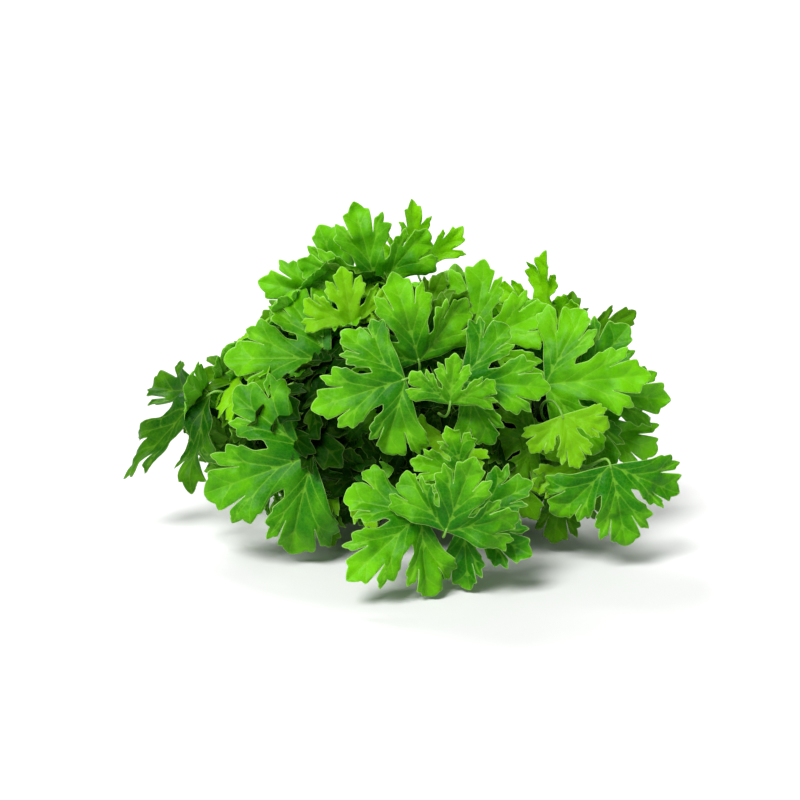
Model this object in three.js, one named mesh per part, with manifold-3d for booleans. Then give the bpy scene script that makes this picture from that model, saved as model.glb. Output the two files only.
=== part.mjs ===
// A bunch of flat-leaf parsley, lying on a flat surface as cut and banded.
//
// Fifteen sprigs are modelled. Each has one stem, which runs from its cut end through the band and out into
// the leafy head, and leaves on short stalks. A leaf is a thin, lobed and toothed blade with its stalk.
//
// Frame: millimetres, +Z up. The leafy head is towards -Y and the cut ends are towards +Y.
// The origin lies on the surface, under the middle of the bunch.

import * as THREE from "three";
import { mergeVertices } from "three/addons/utils/BufferGeometryUtils.js";
import Module from "manifold-3d";

const wasm = await Module();
wasm.setup();

// ---- Driving dimensions, in millimetres and degrees ----

// The head of leaves. Places in it are given as shares of these three.
const HEAD_HALF_WIDTH = 108;
const HEAD_DEPTH = 75;
const HEAD_HEIGHT = 132;

// The bundle of stems.
const STEM_DIAMETER = 3.2;
const STEM_TIP_DIAMETER = 1.9;
const OUTER_RING = 7.7; // radius of the circle that the outer stems stand on, inside the band
const INNER_RING = 2.7;
const CUT_SPREAD = 1.3; // how much wider the bundle is at the cut ends than in the band
const NECK_SPREAD = 2.3;
const CUT_Y = 158;
const BAND_Y = 106;
const BAND_LIFT = 7; // how much higher the bundle is in the band than at the cut ends
const NECK_Y = 52;
const NECK_LIFT = 26;
const CUT_STAGGER = 5; // cut ends are uneven by up to this much
const BUNDLE_HEIGHT = OUTER_RING * CUT_SPREAD + STEM_DIAMETER / 2; // of the bundle's middle at the cut ends

// The band.
const BAND_WIDTH = 5;
const BAND_THICKNESS = 1.2;
const BAND_SLACK = 0.9; // between the outer stems and the band, which they cross at a slant

// The leaves.
const LEAF_LENGTH = 40; // of a leaf of size 1, from its base to its tip
const LEAF_THICKNESS = 0.5;
const FACE_LIFT = 16; // how far above the horizon a leaf with no roll looks
const RIPPLE = 2.2; // how far a leaf of size 1 waves from lobe to lobe
const STALK_DIAMETER = 1.3;

const CLEARANCE = 0.3; // kept between any two pieces
const STEM_SIDES = 6;
const STEM_STEPS = 10;
const STALK_STEPS = 3;
const BAND_SIDES = 24;

const LEAF_COLOURS = { mid: 0x43a516, light: 0x9bd41f, dark: 0x1d6b12 };
const STEM_COLOUR = 0x86b84a;
const BAND_COLOUR = 0xc9a46a;

// ---- Small helpers ----

const { cos, sin, PI } = Math;
const radians = THREE.MathUtils.degToRad;
const vec = (x, y, z) => new THREE.Vector3(x, y, z);

// An even spread of values from -1 to 1, the same on each build.
const vary = (n, k) => ((n * 0.618034 + k * 0.381966 + n * k * 0.1327) % 1) * 2 - 1;

// A closed geometry as a solid, for testing where it lies.
function solidOf(geometry) {
  const bare = geometry.clone();
  bare.deleteAttribute("normal");
  bare.deleteAttribute("uv");
  const merged = mergeVertices(bare, 1e-4);
  const mesh = new wasm.Mesh({
    numProp: 3,
    vertProperties: merged.attributes.position.array,
    triVerts: new Uint32Array(merged.index.array),
  });
  return new wasm.Manifold(mesh);
}

// A closed tube along a curve, tapering from one radius to another.
function taperedTube(curve, startRadius, endRadius, steps, sides) {
  const tube = new THREE.CylinderGeometry(endRadius, startRadius, 1, sides, steps);
  const frames = curve.computeFrenetFrames(steps, false);
  const position = tube.attributes.position;
  for (let i = 0; i < position.count; i++) {
    const share = position.getY(i) + 0.5;
    const ring = Math.round(share * steps);
    const point = curve
      .getPointAt(share)
      .addScaledVector(frames.normals[ring], position.getX(i))
      .addScaledVector(frames.binormals[ring], -position.getZ(i));
    position.setXYZ(i, point.x, point.y, point.z);
  }
  return tube;
}

// ---- The leaf blade ----

// A lobe is a wedge with three sub-lobes: one at each side and one at its tip.
// Its margin, from base to tip: [share of the lobe's length, share of its half-width, vein station].
const FULL_MARGIN = [
  [0.42, 0.56, 1], // shoulder
  [0.65, 1, 1], // outer tooth of the side sub-lobe
  [0.69, 0.82, 1],
  [0.81, 0.86, 1], // tip of the side sub-lobe
  [0.6, 0.34, 2], // notch between the sub-lobes
  [0.87, 0.5, 2], // side tooth of the tip's sub-lobe
  [0.89, 0.31, 3],
];
const SLIM_MARGIN = [
  [0.42, 0.5, 1],
  [0.74, 1, 1],
  [0.62, 0.4, 1],
  [0.88, 0.54, 2],
  [0.885, 0.32, 2],
];
// The stations of a lobe's own vein, as shares of its length.
const FULL_VEINS = [0, 0.28, 0.5, 0.7];
const SLIM_VEINS = [0, 0.34, 0.6];

// A form's lobes, from the leaf's right to its left. Lengths and half-widths are shares of its length.
const FORMS = {
  fan: {
    sinus: 0.34,
    lobes: [
      { angle: -56, length: 0.9, right: 0.4, left: 0.25, margin: FULL_MARGIN, veins: FULL_VEINS },
      { angle: 0, length: 1, right: 0.325, left: 0.325, margin: FULL_MARGIN, veins: FULL_VEINS },
      { angle: 56, length: 0.9, right: 0.25, left: 0.4, margin: FULL_MARGIN, veins: FULL_VEINS },
    ],
  },
  slim: {
    sinus: 0.3,
    lobes: [
      { angle: -52, length: 0.82, right: 0.27, left: 0.19, margin: SLIM_MARGIN, veins: SLIM_VEINS },
      { angle: 0, length: 1, right: 0.23, left: 0.23, margin: SLIM_MARGIN, veins: SLIM_VEINS },
      { angle: 52, length: 0.82, right: 0.19, left: 0.27, margin: SLIM_MARGIN, veins: SLIM_VEINS },
    ],
  },
};

// The lobes of one leaf, flat: each with its vein's stations, its tip and its two margins.
function flatLobes(leaf) {
  const form = FORMS[leaf.form];
  return form.lobes.map((lobe, j) => {
    const angle = radians(lobe.angle + 1.5 * vary(leaf.number, j));
    const length = leaf.length * lobe.length * (1 + 0.07 * vary(leaf.number, j + 3));
    const at = (share, across) => [
      length * share * cos(angle) - across * sin(angle),
      length * share * sin(angle) + across * cos(angle),
    ];
    const margin = (halfWidth, k) =>
      lobe.margin.map(([share, width, vein], i) => ({
        xy: at(share, halfWidth * leaf.length * width * (1 + 0.06 * vary(leaf.number, i + k))),
        vein,
      }));
    return {
      stations: lobe.veins.map((share) => at(share, 0)),
      tip: at(1, 0),
      right: margin(-lobe.right, j),
      left: margin(lobe.left, j + 5),
    };
  });
}

// Bends a point of the flat leaf: a ripple from lobe to lobe, then a curl across it and a droop along it.
function bend(leaf, x, y, z) {
  const reach = Math.hypot(x, y) / leaf.length;
  z += leaf.ripple * reach * reach * cos(3 * Math.atan2(y, x) + leaf.phase);
  const across = radians(leaf.curl) / leaf.length;
  [y, z] = [(1 / across + z) * sin(y * across), (1 / across + z) * cos(y * across) - 1 / across];
  const along = radians(leaf.droop) / leaf.length;
  [x, z] = [(1 / along + z) * sin(x * along), (1 / along + z) * cos(x * along) - 1 / along];
  return [x, y, z];
}

// The blade, flat: its points, one face's triangles and the margin, from the stalk's right to its left.
// Its base is at the origin and its midrib runs along +X. Each lobe's faces fan out from its vein.
function flatBlade(leaf, stalkRadius) {
  const points = [];
  const add = (xy) => points.push(xy) - 1;
  const triangles = [];
  const heart = { at: add([STALK_DIAMETER, 0]), vein: 0 };
  const rightOfStalk = { at: add([0, -stalkRadius]), vein: 0 };
  const leftOfStalk = { at: add([0, stalkRadius]), vein: 0 };
  triangles.push([heart.at, leftOfStalk.at, rightOfStalk.at]);
  const edge = [rightOfStalk.at];

  const fill = (stations, margin, leftward) => {
    for (let i = 0; i + 1 < margin.length; i++) {
      const [a, b] = [margin[i], margin[i + 1]];
      let from = stations[a.vein];
      triangles.push(leftward ? [from, b.at, a.at] : [from, a.at, b.at]);
      for (let v = a.vein; v < b.vein; v++) {
        const next = stations[v + 1];
        triangles.push(leftward ? [from, next, b.at] : [from, b.at, next]);
        from = next;
      }
    }
  };

  const form = FORMS[leaf.form];
  const lobes = flatLobes(leaf);
  let start = rightOfStalk;
  lobes.forEach((lobe, j) => {
    const stations = lobe.stations.map((xy, i) => (i ? add(xy) : heart.at));
    const place = (margin) => margin.map(({ xy, vein }) => ({ at: add(xy), vein }));
    const tip = { at: add(lobe.tip), vein: stations.length - 1 };
    const right = place(lobe.right);
    const left = place(lobe.left);
    let last = leftOfStalk;
    if (j + 1 < lobes.length) {
      const between = radians((form.lobes[j].angle + form.lobes[j + 1].angle) / 2);
      const depth = form.sinus * leaf.length;
      last = { at: add([depth * cos(between), depth * sin(between)]), vein: 0 };
    }
    fill(stations, [start, ...right, tip], false);
    fill(stations, [last, ...left, tip], true);
    edge.push(...right.map((p) => p.at), tip.at, ...left.map((p) => p.at).reverse(), last.at);
    start = last;
  });
  return { points, triangles, edge };
}

// A whole leaf, placed by its matrix: the blade as a closed sheet, which goes on into a square stalk.
// room makes it thicker all over.
function leafGeometry(leaf, matrix, stalk, room) {
  const stalkRadius = STALK_DIAMETER / 2 + room;
  const bladeRadius = LEAF_THICKNESS / 2 + room;
  const { points, triangles, edge } = flatBlade(leaf, stalkRadius);
  const side = (z) => points.map(([x, y]) => vec(...bend(leaf, x, y, z)).applyMatrix4(matrix));
  const placed = [...side(bladeRadius), ...side(-bladeRadius)];
  const lower = points.length;
  const index = [];
  for (const [a, b, c] of triangles) index.push(a, b, c, a + lower, c + lower, b + lower);
  const wall = (from, to, fromBelow, toBelow) => {
    index.push(from, fromBelow, toBelow, from, toBelow, to);
  };
  for (let i = 0; i + 1 < edge.length; i++) {
    wall(edge[i], edge[i + 1], edge[i] + lower, edge[i + 1] + lower);
  }

  // The stalk's rings run from the blade's base to its foot. Each has two corners above and two below.
  const [right, left] = [edge[0], edge.at(-1)];
  let ring = [left, right, right + lower, left + lower];
  const across = vec(0, 0, 0).subVectors(placed[left], placed[right]).normalize();
  for (let k = 1; k <= STALK_STEPS; k++) {
    const share = k / STALK_STEPS;
    const along = stalk.getTangent(1 - share);
    across.addScaledVector(along, -across.dot(along)).normalize();
    const high = THREE.MathUtils.lerp(bladeRadius, stalkRadius, share);
    const corners = [[1, 1], [-1, 1], [-1, -1], [1, -1]].map(([toLeft, toTop]) => {
      const corner = stalk.getPoint(1 - share).addScaledVector(across, toLeft * stalkRadius);
      return placed.push(corner.addScaledVector(along.clone().cross(across), toTop * high)) - 1;
    });
    ring.forEach((from, i) => {
      const j = (i + 1) % 4;
      wall(from, ring[j], corners[i], corners[j]);
    });
    ring = corners;
  }
  index.push(ring[0], ring[2], ring[1], ring[0], ring[3], ring[2]);

  const geometry = new THREE.BufferGeometry().setFromPoints(placed);
  geometry.setIndex(index);
  geometry.computeVertexNormals();
  return geometry;
}

// ---- The sprigs ----

// Places in the head are shares of its half width, depth and height, from the surface under its middle.
// end is where the stem ends.
// slot is the stem's place in the bundle: a ring, and the share of a turn from +X towards +Z.
// A leaf's base is where its blade starts, and at is the share of the stem's length where its stalk leaves.
// clock is the way the leaf points, seen from the front: degrees clockwise from straight up.
// lean tips it towards the front, and roll turns it about its midrib.
// droop bends its tip back and curl bends its sides back, over its whole length.
const SPRIGS = [
  {
    name: "centre_left", slot: [INNER_RING, 5 / 12], end: [0.06, -0.6, 0.56],
    leaves: [
      {
        at: 1, base: [0.02, -0.83, 0.61], size: 0.95, form: "fan", tone: "mid",
        clock: -106, lean: 12, roll: 0, droop: 25, curl: 45,
      },
      {
        at: 0.97, base: [0.07, -0.67, 0.63], size: 0.9, form: "fan", tone: "mid",
        clock: -14, lean: 8, roll: 10, droop: 20, curl: 25,
      },
      {
        at: 0.94, base: [0.13, -0.8, 0.54], size: 0.55, form: "fan", tone: "mid",
        clock: 5, lean: 15, roll: 0, droop: 30, curl: 30,
      },
    ],
  },
  {
    name: "centre_right", slot: [INNER_RING, 2 / 12], end: [0.19, -0.55, 0.52],
    leaves: [
      {
        at: 1, base: [0.22, -0.73, 0.59], size: 0.85, form: "fan", tone: "mid",
        clock: 92, lean: 15, roll: 0, droop: 25, curl: 40,
      },
      {
        at: 0.96, base: [0.24, -0.53, 0.55], size: 0.8, form: "fan", tone: "light",
        clock: 155, lean: 20, roll: 0, droop: 25, curl: 30,
      },
      {
        at: 0.92, base: [0.2, -0.5, 0.55], size: 0.8, form: "fan", tone: "dark",
        clock: 38, lean: 10, roll: 25, droop: 20, curl: 45,
      },
    ],
  },
  {
    name: "front_left", slot: [OUTER_RING, 9 / 11], end: [0.05, -0.94, 0.17],
    leaves: [
      {
        at: 1, base: [0.1, -1.1, 0.22], size: 0.9, form: "fan", tone: "mid",
        clock: -125, lean: 30, roll: 0, droop: 15, curl: 45,
      },
      {
        at: 0.96, base: [0.15, -1.1, 0.21], size: 0.8, form: "fan", tone: "mid",
        clock: 112, lean: 30, roll: 0, droop: 20, curl: 20,
      },
    ],
  },
  {
    name: "front_right", slot: [INNER_RING, 8 / 12], end: [0.17, -0.83, 0.24],
    leaves: [
      {
        at: 1, base: [0.16, -1.17, 0.19], size: 0.85, form: "fan", tone: "mid",
        clock: 18, lean: 15, roll: 0, droop: 30, curl: 40,
      },
      {
        at: 0.96, base: [0.17, -0.85, 0.34], size: 0.55, form: "fan", tone: "mid",
        clock: -72, lean: 15, roll: 0, droop: 40, curl: -35,
      },
    ],
  },
  {
    name: "left_lower", slot: [OUTER_RING, 8 / 11], end: [-0.26, -0.5, 0.31],
    leaves: [
      {
        at: 1, base: [-0.32, -0.67, 0.35], size: 1.28, form: "fan", tone: "mid",
        clock: -108, lean: 12, roll: 0, droop: 35, curl: 50,
      },
      {
        at: 0.97, base: [-0.29, -0.47, 0.28], size: 0.85, form: "slim", tone: "dark",
        clock: 176, lean: 10, roll: 30, droop: 20, curl: 40,
      },
      {
        at: 0.94, base: [-0.25, -0.6, 0.34], size: 0.7, form: "fan", tone: "mid",
        clock: 40, lean: 20, roll: 0, droop: 20, curl: 20,
      },
      {
        at: 0.9, base: [-0.22, -0.6, 0.26], size: 0.65, form: "slim", tone: "light",
        clock: 146, lean: 25, roll: 0, droop: 30, curl: 30,
      },
    ],
  },
  {
    name: "right_lower", slot: [OUTER_RING, 10 / 11], end: [0.69, -0.54, 0.29],
    leaves: [
      {
        at: 1, base: [0.77, -0.73, 0.33], size: 0.9, form: "fan", tone: "mid",
        clock: 168, lean: 15, roll: 0, droop: 25, curl: 50,
      },
      {
        at: 0.96, base: [0.61, -0.53, 0.26], size: 0.75, form: "fan", tone: "dark",
        clock: -176, lean: 5, roll: 0, droop: 25, curl: 25,
      },
      {
        at: 0.93, base: [0.73, -0.5, 0.35], size: 0.55, form: "fan", tone: "light",
        clock: -106, lean: 25, roll: 0, droop: 30, curl: 25,
      },
    ],
  },
  {
    name: "top_left", slot: [OUTER_RING, 5 / 11], end: [-0.06, 0.16, 0.73],
    leaves: [
      {
        at: 1, base: [-0.09, 0, 0.79], size: 0.92, form: "fan", tone: "mid",
        clock: -14, lean: 5, roll: 0, droop: 10, curl: 35,
      },
      {
        at: 0.95, base: [-0.2, 0.07, 0.74], size: 0.95, form: "fan", tone: "mid",
        clock: -78, lean: 0, roll: -10, droop: 15, curl: 20,
      },
      {
        at: 0.9, base: [-0.27, 0.27, 0.66], size: 0.85, form: "fan", tone: "dark",
        clock: -96, lean: -10, roll: 10, droop: 20, curl: 15,
      },
      {
        at: 0.97, base: [0.1, -0.2, 0.7], size: 0.6, form: "fan", tone: "dark",
        clock: 22, lean: 10, roll: 0, droop: 20, curl: 20,
      },
    ],
  },
  {
    name: "right_upper", slot: [OUTER_RING, 1 / 11], end: [0.5, -0.3, 0.48],
    leaves: [
      {
        at: 1, base: [0.54, -0.47, 0.54], size: 1.05, form: "fan", tone: "mid",
        clock: 82, lean: 8, roll: 0, droop: 20, curl: 45,
      },
      {
        at: 0.96, base: [0.66, -0.33, 0.49], size: 1, form: "fan", tone: "mid",
        clock: 96, lean: 0, roll: 0, droop: 20, curl: 15,
      },
      {
        at: 0.92, base: [0.62, 0, 0.58], size: 0.85, form: "slim", tone: "dark",
        clock: 64, lean: -10, roll: 15, droop: 15, curl: 25,
      },
    ],
  },
  {
    name: "top_right", slot: [OUTER_RING, 2 / 11], end: [0.42, 0.05, 0.58],
    leaves: [
      {
        at: 1, base: [0.56, 0.1, 0.66], size: 0.8, form: "fan", tone: "light",
        clock: 8, lean: 0, roll: -35, droop: -30, curl: -60,
      },
      {
        at: 0.97, base: [0.28, -0.27, 0.64], size: 0.95, form: "fan", tone: "mid",
        clock: 62, lean: 8, roll: 0, droop: 25, curl: 20,
      },
      {
        at: 0.94, base: [0.46, -0.13, 0.6], size: 0.7, form: "fan", tone: "mid",
        clock: 76, lean: 5, roll: 10, droop: 25, curl: 20,
      },
    ],
  },
  {
    name: "top_middle", slot: [OUTER_RING, 3 / 11], end: [0.15, 0.55, 0.64],
    leaves: [
      {
        at: 1, base: [0.07, 0.45, 0.79], size: 0.88, form: "slim", tone: "light",
        clock: -6, lean: 0, roll: 20, droop: -10, curl: -30,
      },
      {
        at: 0.95, base: [0.26, 0.4, 0.64], size: 0.6, form: "fan", tone: "light",
        clock: 14, lean: 0, roll: -15, droop: 10, curl: -20,
      },
    ],
  },
  {
    name: "left_upper", slot: [OUTER_RING, 6 / 11], end: [-0.22, -0.15, 0.55],
    leaves: [
      {
        at: 1, base: [-0.26, -0.33, 0.6], size: 1.15, form: "fan", tone: "mid",
        clock: -86, lean: 5, roll: 10, droop: 30, curl: 50,
      },
      {
        at: 0.96, base: [-0.5, -0.07, 0.51], size: 0.95, form: "slim", tone: "dark",
        clock: -86, lean: -5, roll: 35, droop: 25, curl: 20,
      },
      {
        at: 0.92, base: [-0.18, -0.25, 0.67], size: 0.65, form: "fan", tone: "light",
        clock: -8, lean: 5, roll: 0, droop: 20, curl: 40,
      },
    ],
  },
  {
    name: "far_left", slot: [OUTER_RING, 7 / 11], end: [-0.6, -0.06, 0.41],
    leaves: [
      {
        at: 1, base: [-0.73, -0.2, 0.47], size: 1.4, form: "slim", tone: "dark",
        clock: -128, lean: 0, roll: 45, droop: 20, curl: 20,
      },
      {
        at: 0.96, base: [-0.62, -0.1, 0.38], size: 0.8, form: "fan", tone: "dark",
        clock: -156, lean: 0, roll: 0, droop: 20, curl: 25,
      },
      {
        at: 0.92, base: [-0.54, -0.05, 0.45], size: 0.8, form: "slim", tone: "mid",
        clock: -74, lean: 0, roll: 30, droop: 20, curl: 20,
      },
    ],
  },
  {
    name: "right_middle", slot: [OUTER_RING, 0], end: [0.62, -0.25, 0.37],
    leaves: [
      {
        at: 1, base: [0.72, -0.3, 0.39], size: 0.85, form: "fan", tone: "mid",
        clock: 112, lean: 0, roll: 0, droop: 20, curl: 40,
      },
      {
        at: 0.97, base: [0.66, -0.6, 0.48], size: 0.55, form: "fan", tone: "light",
        clock: 160, lean: 20, roll: 0, droop: 30, curl: 20,
      },
      {
        at: 0.95, base: [0.54, -0.53, 0.42], size: 0.65, form: "fan", tone: "dark",
        clock: -95, lean: 15, roll: 0, droop: 30, curl: 20,
      },
      {
        at: 0.88, base: [0.55, 0.25, 0.45], size: 0.85, form: "fan", tone: "dark",
        clock: 80, lean: -45, roll: 0, droop: 25, curl: 20,
      },
    ],
  },
  {
    name: "centre_low", slot: [INNER_RING, 11 / 12], end: [0.24, -0.6, 0.39],
    leaves: [
      {
        at: 1, base: [0.18, -0.8, 0.47], size: 0.65, form: "fan", tone: "light",
        clock: -150, lean: 30, roll: 0, droop: -40, curl: -60,
      },
      {
        at: 0.97, base: [0.37, -0.5, 0.34], size: 0.8, form: "fan", tone: "dark",
        clock: 142, lean: 20, roll: 0, droop: 25, curl: 20,
      },
    ],
  },
  {
    name: "back", slot: [OUTER_RING, 4 / 11], end: [-0.12, 0.55, 0.48],
    leaves: [
      {
        at: 1, base: [-0.1, 0.6, 0.56], size: 1, form: "fan", tone: "mid",
        clock: -20, lean: -40, roll: 0, droop: 20, curl: 20,
      },
      {
        at: 0.95, base: [-0.3, 0.45, 0.46], size: 0.9, form: "fan", tone: "dark",
        clock: -70, lean: -45, roll: 0, droop: 20, curl: 20,
      },
      {
        at: 0.9, base: [0.05, 0.65, 0.5], size: 0.85, form: "fan", tone: "mid",
        clock: 40, lean: -50, roll: 0, droop: 20, curl: 20,
      },
    ],
  },
];

const inHead = ([x, y, z]) => vec(x * HEAD_HALF_WIDTH, y * HEAD_DEPTH, z * HEAD_HEIGHT);

// The stem's line, from its cut end through the band and the neck to where its last leaf sits.
function stemCurve(sprig, n) {
  const [ring, turn] = sprig.slot;
  const across = ring * cos(2 * PI * turn);
  const up = ring * sin(2 * PI * turn);
  const bundle = (y, lift, spread) => vec(across * spread, y, BUNDLE_HEIGHT + lift + up * spread);
  return new THREE.CatmullRomCurve3([
    bundle(CUT_Y + CUT_STAGGER * vary(n, 1), 0, CUT_SPREAD),
    bundle(BAND_Y, BAND_LIFT, 1),
    bundle(NECK_Y, NECK_LIFT, NECK_SPREAD),
    inHead(sprig.end),
  ]);
}

// The leaf's axes: its midrib, its left and its upper face, which looks to the front where roll is 0.
function leafAxes(leaf) {
  const [clock, lean] = [radians(leaf.clock), radians(leaf.lean)];
  const midrib = vec(sin(clock) * cos(lean), -sin(lean), cos(clock) * cos(lean));
  const lift = radians(FACE_LIFT);
  const front = vec(0, -cos(lift), sin(lift));
  const face = front.addScaledVector(midrib, -front.dot(midrib)).normalize();
  face.applyAxisAngle(midrib, radians(leaf.roll));
  return { midrib, face, left: face.clone().cross(midrib) };
}

// The leaf's stalk, from beside its stem to the base of its blade.
function stalkCurve(stem, leaf, base, midrib) {
  const node = stem.getPointAt(leaf.at);
  const tangent = stem.getTangentAt(leaf.at);
  const away = base.clone().sub(node);
  const atEnd = leaf.at === 1;
  if (!atEnd) away.addScaledVector(tangent, -away.dot(tangent));
  const start = atEnd ? tangent.clone() : away.clone().normalize();
  const radius = THREE.MathUtils.lerp(STEM_DIAMETER, STEM_TIP_DIAMETER, leaf.at) / 2;
  const foot = node.clone().addScaledVector(start, (atEnd ? 0 : radius) + CLEARANCE);
  const reach = base.distanceTo(foot);
  return new THREE.CubicBezierCurve3(
    foot,
    foot.clone().addScaledVector(start, reach * 0.35),
    base.clone().addScaledVector(midrib, -reach * 0.35),
    base,
  );
}

// ---- Laying the pieces ----

const group = new THREE.Group();
const laid = [];

const piece = (geometry) => {
  geometry.computeBoundingBox();
  return { solid: solidOf(geometry), box: geometry.boundingBox.clone() };
};
const touches = (a, b) => a.box.intersectsBox(b.box) && !a.solid.intersect(b.solid).isEmpty();

// Adds a mesh. Its geometry is given in place, and its matrix says where its own frame is.
function layMesh(name, geometry, colour, matrix = new THREE.Matrix4()) {
  laid.push(piece(geometry));
  const material = new THREE.MeshStandardMaterial({ color: colour, roughness: 0.5, metalness: 0 });
  const mesh = new THREE.Mesh(geometry.applyMatrix4(matrix.clone().invert()), material);
  mesh.name = name;
  mesh.applyMatrix4(matrix);
  group.add(mesh);
}

// The steps that a leaf may be shifted by so that it lies clear of its neighbours, shortest first.
const SHIFT_STEP = 1.5;
const SHIFT_MOST = 72;
const shifts = [vec(0, 0, 0)];
for (let reach = SHIFT_STEP; reach <= SHIFT_MOST; reach += SHIFT_STEP)
  for (const x of [-1, 0, 1])
    for (const y of [-1, 0, 1])
      for (const z of [1, 0, -1]) if (x || y || z) shifts.push(vec(x, y, z).setLength(reach));

function layLeaf(stem, leaf, name) {
  const { midrib, face, left } = leafAxes(leaf);
  for (const shift of shifts) {
    const base = inHead(leaf.base).add(shift);
    const matrix = new THREE.Matrix4().makeBasis(midrib, left, face).setPosition(base);
    const stalk = stalkCurve(stem, leaf, base, midrib);
    const withRoom = piece(leafGeometry(leaf, matrix, stalk, CLEARANCE));
    if (withRoom.box.min.z < 0 || laid.some((other) => touches(withRoom, other))) continue;
    layMesh(name, leafGeometry(leaf, matrix, stalk, 0), LEAF_COLOURS[leaf.tone], matrix);
    return;
  }
  throw new Error(name + " finds no free place");
}

const stems = SPRIGS.map(stemCurve);
SPRIGS.forEach((sprig, n) => {
  const tube = taperedTube(stems[n], STEM_DIAMETER / 2, STEM_TIP_DIAMETER / 2, STEM_STEPS, STEM_SIDES);
  layMesh("stem_" + sprig.name, tube, STEM_COLOUR);
});

// The sprigs' first leaves are laid before their second ones, and so on.
const MOST_LEAVES = Math.max(...SPRIGS.map((sprig) => sprig.leaves.length));
let number = 0;
for (let k = 0; k < MOST_LEAVES; k++) {
  SPRIGS.forEach((sprig, n) => {
    if (k >= sprig.leaves.length) return;
    number += 1;
    const leaf = {
      ...sprig.leaves[k],
      number,
      length: LEAF_LENGTH * sprig.leaves[k].size,
      ripple: RIPPLE * sprig.leaves[k].size,
      phase: PI * vary(number, 2),
    };
    layLeaf(stems[n], leaf, `leaf_${sprig.name}_${k + 1}`);
  });
}

// The band is a flat ring round the bundle.
function band() {
  const inner = OUTER_RING + STEM_DIAMETER / 2 + BAND_SLACK;
  const outer = inner + BAND_THICKNESS;
  const half = BAND_WIDTH / 2;
  const profile = [
    [inner, -half],
    [outer, -half],
    [outer, half],
    [inner, half],
    [inner, -half],
  ].map(([r, y]) => new THREE.Vector2(r, y));
  return new THREE.LatheGeometry(profile, BAND_SIDES);
}
const bandPlace = new THREE.Matrix4().setPosition(0, BAND_Y, BUNDLE_HEIGHT + BAND_LIFT);
layMesh("band", band().applyMatrix4(bandPlace), BAND_COLOUR, bandPlace);

// The origin goes on the surface, under the middle of the bunch.
const box = new THREE.Box3().setFromObject(group, true);
const middle = box.getCenter(vec(0, 0, 0));
group.position.set(-middle.x, -middle.y, -box.min.z);

export default group;
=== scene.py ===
"""A bunch of flat-leaf parsley: leaves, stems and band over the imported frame, and the stage they lie on."""

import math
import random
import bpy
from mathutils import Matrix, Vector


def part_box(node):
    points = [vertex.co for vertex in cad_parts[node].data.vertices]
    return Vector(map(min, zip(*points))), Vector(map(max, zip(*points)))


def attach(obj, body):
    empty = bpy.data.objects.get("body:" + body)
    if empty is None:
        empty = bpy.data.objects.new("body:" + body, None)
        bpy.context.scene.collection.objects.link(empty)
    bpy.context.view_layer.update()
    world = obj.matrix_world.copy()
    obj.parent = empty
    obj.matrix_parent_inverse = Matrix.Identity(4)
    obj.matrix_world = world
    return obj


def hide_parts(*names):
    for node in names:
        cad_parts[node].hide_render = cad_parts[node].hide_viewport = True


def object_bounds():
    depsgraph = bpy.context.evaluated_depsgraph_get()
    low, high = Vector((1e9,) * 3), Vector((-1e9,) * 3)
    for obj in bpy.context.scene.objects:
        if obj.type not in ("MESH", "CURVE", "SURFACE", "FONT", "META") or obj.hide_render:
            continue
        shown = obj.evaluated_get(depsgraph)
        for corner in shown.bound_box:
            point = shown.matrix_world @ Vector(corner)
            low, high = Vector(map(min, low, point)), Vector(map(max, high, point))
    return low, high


bl_info = {
    "name": "Parsley bunch",
    "version": (1, 0, 0),
    "blender": (4, 5, 0),
    "location": "3D View > Sidebar > Parsley",
    "description": "Grows a banded bunch of flat-leaf parsley on its frame",
    "category": "Add Mesh",
}

import bpy
import numpy as np
from bpy.props import FloatProperty, FloatVectorProperty, IntProperty, PointerProperty
from mathutils import Matrix, Vector, noise
from mathutils.geometry import delaunay_2d_cdt

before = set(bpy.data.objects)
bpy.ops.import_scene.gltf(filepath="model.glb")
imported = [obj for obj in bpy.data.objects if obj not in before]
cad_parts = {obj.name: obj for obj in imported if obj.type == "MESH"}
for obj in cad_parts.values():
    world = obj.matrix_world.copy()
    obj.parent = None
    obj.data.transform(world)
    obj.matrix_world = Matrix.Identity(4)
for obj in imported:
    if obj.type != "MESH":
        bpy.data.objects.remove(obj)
CAD_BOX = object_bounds()

MM = 0.001


# ---- The bunch's plan: the same sprigs, leaves and lines as the frame's solids have ----

HEAD_HALF_WIDTH = 108 * MM
HEAD_DEPTH = 75 * MM
HEAD_HEIGHT = 132 * MM
STEM_RADIUS = 1.6 * MM
STEM_TIP_RADIUS = 0.95 * MM
OUTER_RING = 7.7 * MM
INNER_RING = 2.7 * MM
THIN_RING = 5.2 * MM
THIN_RADIUS = 0.85 * MM
CUT_SPREAD = 1.3
NECK_SPREAD = 2.3
CUT_Y = 158 * MM
BAND_Y = 106 * MM
BAND_LIFT = 7 * MM
NECK_Y = 52 * MM
NECK_LIFT = 26 * MM
CUT_STAGGER = 5 * MM
BUNDLE_HEIGHT = OUTER_RING * CUT_SPREAD + STEM_RADIUS
LEAF_LENGTH = 40 * MM
CAD_THICKNESS = 0.5 * MM
RIPPLE = 2.2 * MM
FACE_LIFT = math.radians(16)

# The inner leaves' bases lie inside an ellipsoid round the head's middle, spread evenly from its top down.
INNER_CENTRE = Vector((0, -12 * MM, 50 * MM))
INNER_HALF = Vector((92 * MM, 70 * MM, 66 * MM))
INNER_SPAN = 1.7  # of the ellipsoid's height, where the whole is 2
INNER_LOWEST = 16 * MM
INNER_TIP_LOWEST = 4 * MM
INNER_SIZES = (0.6, 0.95)
INNER_DROOPS = (12, 50)
INNER_CURLS = (15, 60)
INNER_STALKS = (0.5, 0.8)  # where their stalks leave a stem, in shares of its length
GOLDEN_TURN = math.pi * (3 - math.sqrt(5))
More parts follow.
